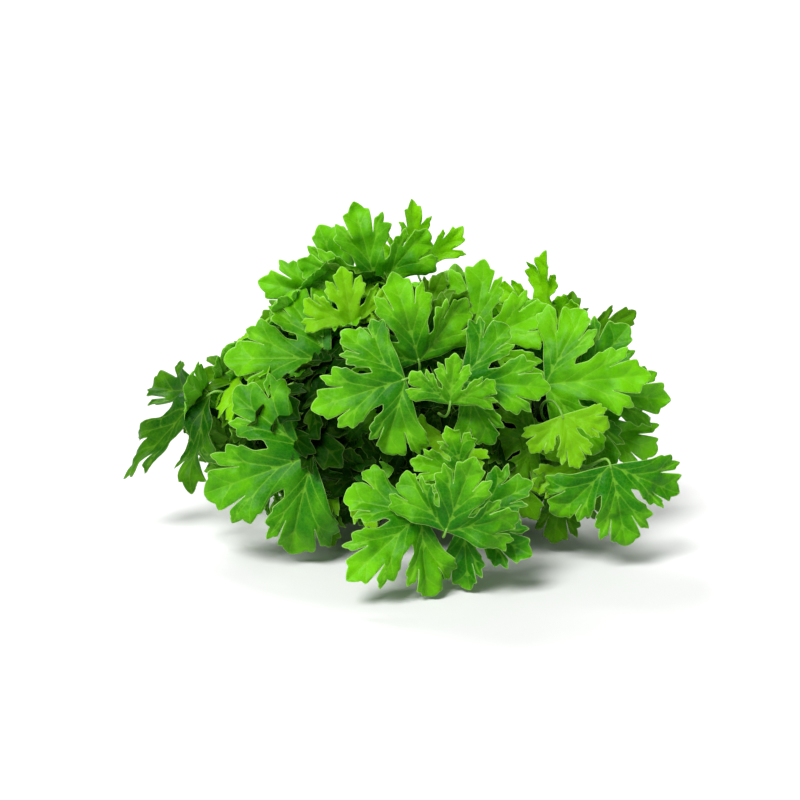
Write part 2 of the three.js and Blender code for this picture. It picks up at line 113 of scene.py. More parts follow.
# Inner leaves behind the head's middle and before it: range of depth, range of lift, tones, range of tone.
# Before it they take the inner and dark copies, painted shade, and tone values below 0, which paint them
# darker still.
INNER_BEHIND = ((0.62, 0.86), (0.1, 0.6), ("mid", "mid", "light", "dark"), (0, 1))
INNER_BEFORE = ((0.3, 0.6), (0.1, 0.25), ("inner", "inner", "inner", "dark"), (-1, 0))
# Their blades take turns at a few flat forms. These numbers set how they and the thin stems vary.
INNER_FORMS = ("fan", "fan", "slim", "fan", "fan", "fan")
INNER_FORM_NUMBER = 60
INNER_LEAF_NUMBER = 100
THIN_STEM_NUMBER = 20

# Heights under REST_SOFT are pressed together, and none comes lower than REST_GAP above the floor.
REST_SOFT = 2 * MM
REST_GAP = 0.2 * MM

# The stage. A light's row is its angle across, its tilt and its turn, in degrees.
FLOOR_HALF = 30.0
FLOOR_GAP = 0.5 * MM
AIM = Vector((0, -58 * MM, 71 * MM))
SENSOR_WIDTH = 36
KEY_LIGHT = (26, 40, -32)
BACK_LIGHT = (22, -46, 24)
# The leaf tissue's copies: mid, light painted as if backlit, and dark and inner painted shade.
LIT_AND_SHADED_TONES = ("mid", "light", "dark", "inner")

# A lobe's margin from its base to its tip: share of its length, share of its half-width.
FULL_MARGIN = (
    (0.42, 0.56),
    (0.65, 1),
    (0.69, 0.82),
    (0.81, 0.86),
    (0.6, 0.34),
    (0.87, 0.5),
    (0.89, 0.31),
)
SLIM_MARGIN = (
    (0.42, 0.5),
    (0.74, 1),
    (0.62, 0.4),
    (0.88, 0.54),
    (0.885, 0.32),
)
# A form's sinus depth, vein stations, margin, and lobes: angle, length, right and left half-width.
FORMS = {
    "fan": (0.34, (0, 0.28, 0.5, 0.7), FULL_MARGIN,
            ((-56, 0.9, 0.4, 0.25), (0, 1, 0.325, 0.325), (56, 0.9, 0.25, 0.4))),
    "slim": (0.3, (0, 0.34, 0.6), SLIM_MARGIN,
             ((-52, 0.82, 0.27, 0.19), (0, 1, 0.23, 0.23), (52, 0.82, 0.19, 0.27))),
}

# A sprig: name, ring and share of a turn of its stem, end of its stem in shares of the head, and leaves.
# A leaf's values are those of LEAF_KEYS. Its tone picks a copy of the leaf tissue: light is painted
# backlight, dark is painted shade. The places are read from the frame.
LEAF_KEYS = ("at", "size", "form", "tone", "clock", "lean", "roll", "droop", "curl")
SPRIGS = (
    ("centre_left", INNER_RING, 5 / 12, (0.06, -0.6, 0.56), (
        (1, 0.95, "fan", "mid", -106, 12, 0, 25, 45),
        (0.97, 0.9, "fan", "mid", -14, 8, 10, 20, 25),
        (0.94, 0.55, "fan", "mid", 5, 15, 0, 30, 30),
    )),
    ("centre_right", INNER_RING, 2 / 12, (0.19, -0.55, 0.52), (
        (1, 0.85, "fan", "mid", 92, 15, 0, 25, 40),
        (0.96, 0.8, "fan", "light", 155, 20, 0, 25, 30),
        (0.92, 0.8, "fan", "dark", 38, 10, 25, 20, 45),
    )),
    ("front_left", OUTER_RING, 9 / 11, (0.05, -0.94, 0.17), (
        (1, 0.9, "fan", "mid", -125, 30, 0, 15, 45),
        (0.96, 0.8, "fan", "mid", 112, 30, 0, 20, 20),
    )),
    ("front_right", INNER_RING, 8 / 12, (0.17, -0.83, 0.24), (
        (1, 0.85, "fan", "mid", 18, 15, 0, 30, 40),
        (0.96, 0.55, "fan", "mid", -72, 15, 0, 40, -35),
    )),
    ("left_lower", OUTER_RING, 8 / 11, (-0.26, -0.5, 0.31), (
        (1, 1.28, "fan", "mid", -108, 12, 0, 35, 50),
        (0.97, 0.85, "slim", "dark", 176, 10, 30, 20, 40),
        (0.94, 0.7, "fan", "mid", 40, 20, 0, 20, 20),
        (0.9, 0.65, "slim", "light", 146, 25, 0, 30, 30),
    )),
    ("right_lower", OUTER_RING, 10 / 11, (0.69, -0.54, 0.29), (
        (1, 0.9, "fan", "mid", 168, 15, 0, 25, 50),
        (0.96, 0.75, "fan", "dark", -176, 5, 0, 25, 25),
        (0.93, 0.55, "fan", "light", -106, 25, 0, 30, 25),
    )),
    ("top_left", OUTER_RING, 5 / 11, (-0.06, 0.16, 0.73), (
        (1, 0.92, "fan", "mid", -14, 5, 0, 10, 35),
        (0.95, 0.95, "fan", "mid", -78, 0, -10, 15, 20),
        (0.9, 0.85, "fan", "dark", -96, -10, 10, 20, 15),
        (0.97, 0.6, "fan", "dark", 22, 10, 0, 20, 20),
    )),
    ("right_upper", OUTER_RING, 1 / 11, (0.5, -0.3, 0.48), (
        (1, 1.05, "fan", "mid", 82, 8, 0, 20, 45),
        (0.96, 1, "fan", "mid", 96, 0, 0, 20, 15),
        (0.92, 0.85, "slim", "dark", 64, -10, 15, 15, 25),
    )),
    ("top_right", OUTER_RING, 2 / 11, (0.42, 0.05, 0.58), (
        (1, 0.8, "fan", "light", 8, 0, -35, -30, -60),
        (0.97, 0.95, "fan", "mid", 62, 8, 0, 25, 20),
        (0.94, 0.7, "fan", "mid", 76, 5, 10, 25, 20),
    )),
    ("top_middle", OUTER_RING, 3 / 11, (0.15, 0.55, 0.64), (
        (1, 0.88, "slim", "light", -6, 0, 20, -10, -30),
        (0.95, 0.6, "fan", "light", 14, 0, -15, 10, -20),
    )),
    ("left_upper", OUTER_RING, 6 / 11, (-0.22, -0.15, 0.55), (
        (1, 1.15, "fan", "mid", -86, 5, 10, 30, 50),
        (0.96, 0.95, "slim", "dark", -86, -5, 35, 25, 20),
        (0.92, 0.65, "fan", "light", -8, 5, 0, 20, 40),
    )),
    ("far_left", OUTER_RING, 7 / 11, (-0.6, -0.06, 0.41), (
        (1, 1.4, "slim", "dark", -128, 0, 45, 20, 20),
        (0.96, 0.8, "fan", "dark", -156, 0, 0, 20, 25),
        (0.92, 0.8, "slim", "mid", -74, 0, 30, 20, 20),
    )),
    ("right_middle", OUTER_RING, 0, (0.62, -0.25, 0.37), (
        (1, 0.85, "fan", "mid", 112, 0, 0, 20, 40),
        (0.97, 0.55, "fan", "light", 160, 20, 0, 30, 20),
        (0.95, 0.65, "fan", "dark", -95, 15, 0, 30, 20),
        (0.88, 0.85, "fan", "dark", 80, -45, 0, 25, 20),
    )),
    ("centre_low", INNER_RING, 11 / 12, (0.24, -0.6, 0.39), (
        (1, 0.65, "fan", "light", -150, 30, 0, -40, -60),
        (0.97, 0.8, "fan", "dark", 142, 20, 0, 25, 20),
    )),
    ("back", OUTER_RING, 4 / 11, (-0.12, 0.55, 0.48), (
        (1, 1, "fan", "mid", -20, -40, 0, 20, 20),
        (0.95, 0.9, "fan", "dark", -70, -45, 0, 20, 20),
        (0.9, 0.85, "fan", "mid", 40, -50, 0, 20, 20),
    )),
)


# ---- Numbers and lines ----

def vary(n, k):
    """An even spread of values from -1 to 1."""
    return ((n * 0.618034 + k * 0.381966 + n * k * 0.1327) % 1) * 2 - 1


def smooth(low, high, value):
    """0 below low, 1 above high, and a smooth step between them. value may be an array."""
    share = np.clip((value - low) / (high - low), 0, 1)
    return share * share * (3 - 2 * share)


def bezier(points, count):
    """count + 1 points along a quadratic or cubic Bezier curve."""
    points = [np.array(p, dtype=float) for p in points]
    line = []
    for i in range(count + 1):
        t = i / count
        row = points
        while len(row) > 1:
            row = [a + (b - a) * t for a, b in zip(row, row[1:])]
        line.append(row[0])
    return line


class Line:
    """A curve through 3-D points, read by the share of its length."""

    def __init__(self, points):
        self.points = np.array([tuple(p) for p in points])
        steps = np.linalg.norm(np.diff(self.points, axis=0), axis=1)
        self.lengths = np.concatenate([[0], np.cumsum(steps)])

    def at(self, share):
        where = share * self.lengths[-1]
        return Vector([float(np.interp(where, self.lengths, self.points[:, i])) for i in range(3)])

    def direction(self, share):
        low, high = max(share - 0.005, 0), min(share + 0.005, 1)
        return (self.at(high) - self.at(low)).normalized()


def catmull(points, count=60):
    """Points along a centripetal Catmull-Rom curve, whose ends go straight on."""
    points = [Vector(p) for p in points]
    points = [points[0] * 2 - points[1], *points, points[-1] * 2 - points[-2]]
    line = []
    for p0, p1, p2, p3 in zip(points, points[1:], points[2:], points[3:]):
        d0, d1, d2 = (max((b - a).length ** 0.5, 1e-9) for a, b in ((p0, p1), (p1, p2), (p2, p3)))
        t1 = ((p1 - p0) / d0 - (p2 - p0) / (d0 + d1) + (p2 - p1) / d1) * d1
        t2 = ((p2 - p1) / d1 - (p3 - p1) / (d1 + d2) + (p3 - p2) / d2) * d1
        for i in range(count):
            t = i / count
            a = 2 * t ** 3 - 3 * t * t + 1
            b = t ** 3 - 2 * t * t + t
            c = -2 * t ** 3 + 3 * t * t
            d = t ** 3 - t * t
            line.append(p1 * a + t1 * b + p2 * c + t2 * d)
    line.append(points[-2])
    return line


def stem_line(ring, turn, end, number, origin):
    """The stem's line, from its cut end through the band and the neck to where its last leaf sits."""
    across = ring * math.cos(math.tau * turn)
    up = ring * math.sin(math.tau * turn)

    def bundle(y, lift, spread):
        return Vector((across * spread, y, BUNDLE_HEIGHT + lift + up * spread))

    cut = CUT_Y + CUT_STAGGER * vary(number, 1)
    last = Vector((end[0] * HEAD_HALF_WIDTH, end[1] * HEAD_DEPTH, end[2] * HEAD_HEIGHT))
    through = [
        bundle(cut, 0, CUT_SPREAD),
        bundle(BAND_Y, BAND_LIFT, 1),
        bundle(NECK_Y, NECK_LIFT, NECK_SPREAD),
        last,
    ]
    return Line([p + origin for p in catmull(through)])


def head_origin():
    """Where the plan's own origin lies in the frame: the band's middle is known in both."""
    low, high = (Vector(corner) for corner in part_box("band"))
    return (low + high) / 2 - Vector((0, BAND_Y, BUNDLE_HEIGHT + BAND_LIFT))


# ---- The leaf, flat ----

class Lobe:
    """One lobe of a flat leaf: its vein's stations, its tip and its two margins."""

    def __init__(self, form, j, number, length):
        _, stations, margin, lobes = FORMS[form]
        degrees, share, right, left = lobes[j]
        angle = math.radians(degrees + 1.5 * vary(number, j))
        own = length * share * (1 + 0.07 * vary(number, j + 3))
        self.axis = np.array((math.cos(angle), math.sin(angle)))
        self.side = np.array((-math.sin(angle), math.cos(angle)))
        self.length = own
        self.stations = [self.axis * own * station for station in stations]
        self.tip = self.axis * own

        def points(half, k):
            """The margin's corners on one side, each a little out of its place."""
            return [
                self.axis * own * along
                + self.side * half * length * across * (1 + 0.06 * vary(number, i + k))
                for i, (along, across) in enumerate(margin)
            ]

        self.right = points(-right, j)
        self.left = points(left, j + 5)


def sinus_point(form, j, length):
    """The foot of the gap between a lobe and the next."""
    depth, _, _, lobes = FORMS[form]
    between = math.radians((lobes[j][0] + lobes[j + 1][0]) / 2)
    return np.array((math.cos(between), math.sin(between))) * depth * length


def bend(leaf, x, y, z):
    """Bends points of the flat leaf: a ripple from lobe to lobe, a curl across it and a droop along it."""
    reach = np.hypot(x, y) / leaf["length"]
    z = z + leaf["ripple"] * reach * reach * np.cos(3 * np.arctan2(y, x) + leaf["phase"])
    across = math.radians(leaf["curl"]) / leaf["length"]
    y, z = (1 / across + z) * np.sin(y * across), (1 / across + z) * np.cos(y * across) - 1 / across
    along = math.radians(leaf["droop"]) / leaf["length"]
    x, z = (1 / along + z) * np.sin(x * along), (1 / along + z) * np.cos(x * along) - 1 / along
    return x, y, z


def margin_corners(form, lobes, length, stalk):
    """The leaf's margin, anticlockwise: corners with how round each is and how the edge after it bulges."""
    corners = [(np.array((0, -stalk)), 0.0, 0.02)]
    for j, lobe in enumerate(lobes):
        corners += lobe_side(lobe.right, lobe.tip, 1)
        corners.append((lobe.tip, 0.3, 0.14))
        back = lobe_side(lobe.left, lobe.tip, -1)[::-1]
        bulges = [corner[2] for corner in back[1:]] + [0.02]
        corners += [(point, turn, bulge) for (point, turn, _), bulge in zip(back, bulges)]
        if j + 1 < len(lobes):
            corners.append((sinus_point(form, j, length), 0.3, 0.02))
    corners.append((np.array((0, stalk)), 0.0, 0.0))
    return corners


def lobe_side(margin, tip, outward):
    """One side of a lobe from its base: the frame's corners and small teeth between them."""

    def tooth(start, end, share, rise):
        """A small tooth on the edge from start to end, with its notch on the side of the smaller share."""
        step = end - start
        out = np.array((step[1], -step[0])) * outward
        notch = (start + step * (share + 0.12) + out * rise * 0.1, 0.1, 0.1)
        return [(start + step * share + out * rise, 0.3, 0.08), notch]

    corners = [(margin[0], 0.5, -0.02)]
    if len(margin) > 5:
        outer, notch, top, deep, side, last = margin[1:]
        corners += tooth(margin[0], outer, 0.5, 0.09)
        corners += [(outer, 0.28, 0.16), (notch, 0.1, 0.16), (top, 0.3, 0.16)]
    else:
        top, deep, side, last = margin[1:]
        corners += tooth(margin[0], top, 0.6, 0.08)
        corners += [(top, 0.3, 0.16)]
    step = deep - top
    out = np.array((step[1], -step[0])) * outward
    corners += [(top + step * 0.24 + out * 0.1, 0.1, 0.12), (top + step * 0.38 + out * 0.2, 0.32, 0.02)]
    corners += [(deep, 0.3, 0.04), (side, 0.3, 0.16), (last, 0.1, 0.14)]
    return corners


def margin_line(corners, spacing):
    """The margin as closely spaced points: each edge bulges outwards, and each corner is rounded off."""
    points = []
    rounds = [corner[1] for corner in corners]
    edges = []
    for (a, _, bulge), (b, _, _) in zip(corners, corners[1:]):
        step = b - a
        out = np.array((step[1], -step[0]))
        edges.append((a, (a + b) / 2 + out * bulge, b))
    for i, edge in enumerate(edges):
        count = max(4, math.ceil(np.linalg.norm(edge[2] - edge[0]) / spacing))
        fine = bezier(edge, count * 4)
        first = int(round(rounds[i] * 0.5 * count * 4))
        last = count * 4 - int(round(rounds[i + 1] * 0.5 * count * 4))
        kept = fine[first:last + 1]
        if points and rounds[i] > 0:
            points += bezier((points[-1], corners[i][0], kept[0]), 4)[1:-1]
        steps = max(2, math.ceil(np.linalg.norm(kept[-1] - kept[0]) / spacing))
        for k in range(steps + 1):
            points.append(kept[int(round(k / steps * (len(kept) - 1)))])
    clean = [points[0]]
    for point in points[1:]:
        if np.linalg.norm(point - clean[-1]) > spacing * 0.15:
            clean.append(point)
    return clean


def vein_lines(lobes, length):
    """The veins as (points, half-width at the start, half-width at the end, rank)."""
    size = length / LEAF_LENGTH
    veins = []

    def vein(start, end, lean, count, wide, narrow, rank):
        """A vein that leaves its start in the direction lean and then turns to its end."""
        reach = np.linalg.norm(end - start)
        points = bezier((start, start + lean * reach * 0.45, start + (end - start) * 0.96), count)
        veins.append((points, wide * MM * size, narrow * MM, rank))
        return points

    for lobe in lobes:
        main = bezier((lobe.axis * 1.3 * MM, lobe.tip * 0.5, lobe.tip * 0.985), 24)
        veins.append((main, 0.27 * MM * size, 0.07 * MM, 0))
        for margin, way in ((lobe.right, -1), (lobe.left, 1)):
            lean = lobe.axis * 0.92 + lobe.side * way * 0.4
            outer, top, side = (margin[i] for i in ((1, 3, 5) if len(margin) > 5 else (0, 1, 3)))
            rib = vein(lobe.stations[1], top, lean, 14, 0.17, 0.05, 1)
            vein(rib[5], outer, lean, 9, 0.1, 0.05, 2)
            vein(rib[8], top + (margin[-3] - top) * 0.35, lobe.axis, 6, 0.08, 0.05, 2)
            vein(lobe.stations[-1], side, lean, 7, 0.12, 0.05, 1)
            vein(lobe.stations[1] * 0.5, (margin[0] + margin[1]) / 2, lean, 9, 0.11, 0.05, 2)
    return veins


def segment_distance(points, a, b):
    """For each point, its distance to each segment and how far along that segment the nearest point is."""
    step = b - a
    share = ((points[:, None] - a) * step).sum(2) / np.maximum((step * step).sum(1), 1e-18)
    share = np.clip(share, 0, 1)
    near = a + share[..., None] * step
    return np.linalg.norm(points[:, None] - near, axis=2), share


def inside(points, loop):
    """Which points lie inside a closed loop."""
    a, b = loop, np.roll(loop, -1, axis=0)
    x, y = points[:, 0, None], points[:, 1, None]
    crosses = (a[:, 1] > y) != (b[:, 1] > y)
    rise = np.where(b[:, 1] == a[:, 1], 1e-12, b[:, 1] - a[:, 1])
    left_of = x < (b[:, 0] - a[:, 0]) * (y - a[:, 1]) / rise + a[:, 0]
    return (crosses & left_of).sum(1) % 2 == 1


class FlatLeaf:
    """A flat blade: its points, triangles and margin, and for each point its veins and margin distances."""

    def __init__(self, form, number, length, spacing):
        lobes = [Lobe(form, j, number, length) for j in range(3)]
        loop = np.array(margin_line(margin_corners(form, lobes, length, 0.65 * MM), spacing * 0.7))
        veins = vein_lines(lobes, length)
        starts, ends, widths, widths_end, ranks = [], [], [], [], []
        vein_points, vein_edges = [], []
        for points, wide, narrow, rank in veins:
            shares = np.linspace(0, 1, len(points))
            for k in range(len(points) - 1):
                starts.append(points[k])
                ends.append(points[k + 1])
                widths.append(wide + (narrow - wide) * shares[k])
                widths_end.append(wide + (narrow - wide) * shares[k + 1])
                ranks.append(rank)
            base = len(loop) + len(vein_points)
            vein_points += list(points)
            vein_edges += [(base + k, base + k + 1) for k in range(len(points) - 1)]
        self.starts, self.ends = np.array(starts), np.array(ends)
        self.widths, self.widths_end = np.array(widths), np.array(widths_end)
        self.ranks = np.array(ranks)
        rise = spacing * math.sqrt(3) / 2
        low, high = loop.min(0), loop.max(0)
        grid = [
            (x + (spacing / 2 if row % 2 else 0), y)
            for row, y in enumerate(np.arange(low[1], high[1], rise))
            for x in np.arange(low[0], high[0], spacing)
        ]
        grid = np.array(grid)
        grid = grid[inside(grid, loop)]
        to_margin, _ = segment_distance(grid, loop, np.roll(loop, -1, axis=0))
        to_vein, _ = segment_distance(grid, self.starts, self.ends)
        grid = grid[(to_margin.min(1) > spacing * 0.45) & (to_vein.min(1) > spacing * 0.4)]
        points = np.concatenate([loop, np.array(vein_points), grid])
        count = len(loop)
        edges = [(k, (k + 1) % count) for k in range(count)] + vein_edges
        found = delaunay_2d_cdt([Vector(p) for p in points], edges, [list(range(count))], 1, 1e-7)
        self.points = np.array([tuple(v) for v in found[0]])
        self.triangles = [tuple(f) for f in found[2]]
        self._wind()
        self._measure(loop)
        self.length = length

    def _wind(self):
        """Turns each triangle anticlockwise and finds the edges that only one triangle has."""
        p = self.points
        turned = []
        for a, b, c in self.triangles:
            one, other = p[b] - p[a], p[c] - p[a]
            area = one[0] * other[1] - one[1] * other[0]
            turned.append((a, b, c) if area > 0 else (a, c, b))
        self.triangles = turned
        seen = {}
        for a, b, c in turned:
            for edge in ((a, b), (b, c), (c, a)):
                seen[edge] = True
        self.rim = [edge for edge in seen if (edge[1], edge[0]) not in seen]

    def _measure(self, loop):
        far, share = segment_distance(self.points, self.starts, self.ends)
        wide = self.widths + (self.widths_end - self.widths) * share
        self.vein = np.clip((far / wide).min(1), 0, 8)
        strong = np.where(self.ranks < 2, far, 1.0)
        self.groove = strong.min(1)
        self.main = np.where(self.ranks == 0, far, 1.0).min(1)
        self.margin = segment_distance(self.points, loop, np.roll(loop, -1, axis=0))[0].min(1)
        self.fork = np.where(self.ranks == 2, far, 1.0).min(1)


def relief(flat, number, size):
    """Heights of the blade's own surface: sunken veins, raised fields between them, and a waving margin."""
    x, y = flat.points[:, 0], flat.points[:, 1]
    grooves = -0.2 * MM * np.exp(-(flat.groove / (0.5 * MM)) ** 2)
    fields = 0.85 * MM * (1 - np.exp(-(flat.groove / (2.6 * MM)) ** 2))
    forks = -0.07 * MM * np.exp(-(flat.fork / (0.45 * MM)) ** 2)
    channel = 0.26 * np.minimum(flat.main, 7 * MM)
    wave = np.array([
        noise.noise(Vector((px / (10 * MM * size), py / (10 * MM * size), number * 3.7)))
        for px, py in flat.points
    ])
    fine = np.array([
        noise.noise(Vector((px / (4.2 * MM), py / (4.2 * MM), number * 1.9 + 40)))
        for px, py in flat.points
    ])
    loose = 1 - smooth(0, 6 * MM * size, flat.margin)
    away = smooth(2 * MM, 14 * MM, np.hypot(x, y))
    wavy = (4.2 * MM * size * wave * (0.4 + 0.6 * loose) + 0.7 * MM * fine * loose) * away
    return grooves + fields + forks + channel * away + wavy


# ---- Meshes ----

def new_object(name, points, faces, shades, materials=(), indices=None):
    """A smooth mesh object. shades maps the names of point attributes to their values."""
    mesh = bpy.data.meshes.new(name)
    mesh.from_pydata([tuple(p) for p in points], [], [tuple(f) for f in faces])
    for key, values in shades.items():
        layer = mesh.attributes.new(key, "FLOAT", "POINT")
        layer.data.foreach_set("value", np.asarray(values, dtype=np.float32))
    mesh.shade_smooth()
    for material in materials:
        mesh.materials.append(material)
    if indices is not None:
        mesh.polygons.foreach_set("material_index", indices)
    mesh.update()
    piece = bpy.data.objects.new(name, mesh)
    bpy.context.scene.collection.objects.link(piece)
    return piece


def tube(line, radius_at, sides, rings, ridges, depth):
    """A tube along a Line. Its section has ridges of a depth that is a share of its radius."""
    points, faces, along = [], [], []
    direction = line.direction(0)
    across = direction.orthogonal().normalized()
    for i in range(rings + 1):
        share = i / rings
        direction = line.direction(share)
        across = (across - direction * across.dot(direction)).normalized()
        up = direction.cross(across)
        centre = line.at(share)
        for k in range(sides):
            turn = math.tau * k / sides
            radius = radius_at(share) * (1 + depth * math.cos(ridges * turn))
            points.append(centre + (across * math.cos(turn) + up * math.sin(turn)) * radius)
            along.append(share)
    for i in range(rings):
        for k in range(sides):
            a, b = i * sides + k, i * sides + (k + 1) % sides
            faces.append((a, b, b + sides, a + sides))
    points += [line.at(0), line.at(1)]
    along += [0, 1]
    first, last = len(points) - 2, len(points) - 1
    for k in range(sides):
        faces.append((first, (k + 1) % sides, k))
        faces.append((last, rings * sides + k, rings * sides + (k + 1) % sides))
    return points, faces, along


class Patch:
    """Gathers points, faces and shades of several surfaces that make one piece."""

    def __init__(self):
        self.points, self.faces, self.shades = [], [], {}

    def add(self, points, faces, **shades):
        base = len(self.points)
        self.points += [tuple(p) for p in points]
        self.faces += [tuple(i + base for i in face) for face in faces]
        for key, values in shades.items():
            row = self.shades.setdefault(key, [0.0] * base)
            row += list(values)
        for row in self.shades.values():
            row += [0.0] * (len(self.points) - len(row))


def blade(patch, flat, leaf, matrix, thickness, tone):
    """Adds a bent blade as a closed sheet: an upper side, an under side and a rim."""

    def both(values):
        return np.concatenate([values, values])

    heights = relief(flat, leaf["number"], leaf["size"])
    x, y = flat.points[:, 0], flat.points[:, 1]
    thick = thickness * (0.45 + 0.55 * smooth(0, 1.2 * MM, flat.margin))
    rib = 0.35 * MM * np.exp(-(flat.groove / (0.4 * MM)) ** 2)
    sheets = []
    for side, extra in ((0.5, 0), (-0.5, rib)):
        bx, by, bz = bend(leaf, x, y, heights + side * thick - extra)
        local = np.stack([bx, by, bz, np.ones(len(bx))], axis=1)
        sheets.append((local @ np.array(matrix).T)[:, :3])
    count = len(x)
    faces = list(flat.triangles)
    faces += [(a + count, c + count, b + count) for a, b, c in flat.triangles]
    faces += [(b, a, a + count, b + count) for a, b in flat.rim]
    patch.add(
        np.concatenate(sheets), faces,
        vein=both(flat.vein), margin=both(flat.margin / MM),
        under=np.concatenate([np.zeros(count), np.ones(count)]),
        reach=both(np.hypot(x, y) / flat.length),
        tone=np.full(2 * count, tone),
    )


def leaf_axes(clock, lean, roll):
    """The leaf's midrib, left and face, which looks to the front where roll is 0."""
    clock, lean, roll = (math.radians(value) for value in (clock, lean, roll))
    midrib = Vector((math.sin(clock) * math.cos(lean), -math.sin(lean), math.cos(clock) * math.cos(lean)))
    front = Vector((0, -math.cos(FACE_LIFT), math.sin(FACE_LIFT)))
    face = (front - midrib * front.dot(midrib)).normalized()
    face.rotate(Matrix.Rotation(roll, 3, midrib))
    return midrib, face.cross(midrib), face


def placed(axes, base):
    """The matrix that puts a bent leaf's base at a place, along its axes."""
    midrib, left, face = axes
    matrix = Matrix((midrib, left, face)).transposed().to_4x4()
    matrix.translation = base
    return matrix


def frame_base(node, leaf, axes):
    """Where the leaf's blade starts, from the place of its outermost corner in the frame."""
    lobes = [Lobe(leaf["form"], j, leaf["number"], leaf["length"]) for j in range(3)]
    flat = np.array([p for lobe in lobes for p in (*lobe.right, lobe.tip, *lobe.left)])
    corners = []
    for side in (0.5, -0.5):
        corners.append(np.stack(bend(leaf, flat[:, 0], flat[:, 1], side * CAD_THICKNESS), axis=1))
    matrix = placed(axes, Vector((0, 0, 0)))
    corners = np.concatenate(corners) @ np.array(matrix.to_3x3()).T
    solid = np.array([tuple(v.co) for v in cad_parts[node].data.vertices])
    way = np.array(axes[0] + axes[2] * 0.2)
    base = solid[(solid @ way).argmax()] - corners[(corners @ way).argmax()]
    misses = [np.linalg.norm(solid - corner - base, axis=1).min() for corner in corners[::7]]
    if max(misses) > 0.2 * MM:
        raise RuntimeError(f"{node} isn't where the plan puts it: {max(misses) / MM:.2f} mm off")
    return Vector(base)


def stalk_line(stem, share, radius, base, midrib):
    """A leaf's stalk, from inside its stem to the base of its blade."""
    node = stem.at(share)
    tangent = stem.direction(share)
    away = base - node
    if share < 1:
        away = away - tangent * away.dot(tangent)
        start = away.normalized()
        foot = node + start * radius * 0.3
    else:
        start = tangent
        foot = node - tangent * 0.5 * MM
    reach = (base - foot).length
    tip = base + midrib * 1.6 * MM
    return Line(bezier((foot, foot + start * reach * 0.35, base - midrib * reach * 0.35, base), 24) + [tip])


# ---- Shaders ----

class Wire:
    """A socket in a node tree. Arithmetic on it adds Math nodes."""

    def __init__(self, shader, socket):
        self.shader, self.socket = shader, socket

    def _math(self, operation, *values):
        return self.shader.node("ShaderNodeMath", {"operation": operation}, dict(enumerate(values)))

    def __add__(self, other):
        return self._math("ADD", self, other)

    def __sub__(self, other):
        return self._math("SUBTRACT", self, other)

    def __rsub__(self, other):
        return self._math("SUBTRACT", other, self)

    def __mul__(self, other):
        return self._math("MULTIPLY", self, other)

    __radd__ = __add__

    def step(self, low, high):
        """0 below low, 1 above high, and a smooth step between them."""
        settings = {"interpolation_type": "SMOOTHSTEP"}
        values = {"Value": self, "From Min": low, "From Max": high}
        return self.shader.node("ShaderNodeMapRange", settings, values)


class Shader:
    """A material's node tree, built by expressions."""

    def __init__(self, name):
        self.material = bpy.data.materials.new(name)
        self.material.use_nodes = True
        self.tree = self.material.node_tree
        self.tree.nodes.clear()
        self.place = self.node("ShaderNodeTexCoord", output="Object")

    def node(self, kind, settings=None, values=None, output=0):
        """Adds a node: its settings first, then the values or links of its sockets."""
        made = self.tree.nodes.new(kind)
        for key, value in (settings or {}).items():
            setattr(made, key, value)
        for key, value in (values or {}).items():
            socket = made.inputs[key]
            if isinstance(value, Wire):
                self.tree.links.new(value.socket, socket)
            else:
                socket.default_value = value
        return Wire(self, made.outputs[output])

    def shade(self, name):
        """A point attribute of the piece."""
        return self.node("ShaderNodeAttribute", {"attribute_name": name}, output="Fac")

    def noise(self, scale, detail=3.0, place=None):
        values = {"Vector": place or self.place, "Scale": scale, "Detail": detail}
        return self.node("ShaderNodeTexNoise", None, values)

    def cells(self, scale):
        """The distance to the edge of a cell."""
        values = {"Vector": self.place, "Scale": scale}
        return self.node("ShaderNodeTexVoronoi", {"feature": "DISTANCE_TO_EDGE"}, values)

    def stretched(self, scale):
        values = {"Vector": self.place, "Scale": scale}
        return self.node("ShaderNodeMapping", None, values)

    def mix(self, share, first, second):
        """Blends two colours."""
        made = self.tree.nodes.new("ShaderNodeMix")
        made.data_type = "RGBA"
        sockets = {
            "Factor": made.inputs[0],
            "A": next(s for s in made.inputs if s.type == "RGBA" and s.name == "A"),
            "B": next(s for s in made.inputs if s.type == "RGBA" and s.name == "B"),
        }
        for key, value in (("Factor", share), ("A", first), ("B", second)):
            if isinstance(value, Wire):
                self.tree.links.new(value.socket, sockets[key])
            else:
                sockets[key].default_value = value
        return Wire(self, next(s for s in made.outputs if s.type == "RGBA"))

    def bump(self, height, distance, strength=1.0):
        values = {"Height": height, "Distance": distance, "Strength": strength}
        return self.node("ShaderNodeBump", None, values)

    def surface(self, values):
        return self.node("ShaderNodeBsdfPrincipled", None, values)

    def finish(self, surface):
        end = self.tree.nodes.new("ShaderNodeOutputMaterial")
        self.tree.links.new(surface.socket, end.inputs["Surface"])
        return self.material


def rgb(colour):
    return (*colour[:3], 1.0)


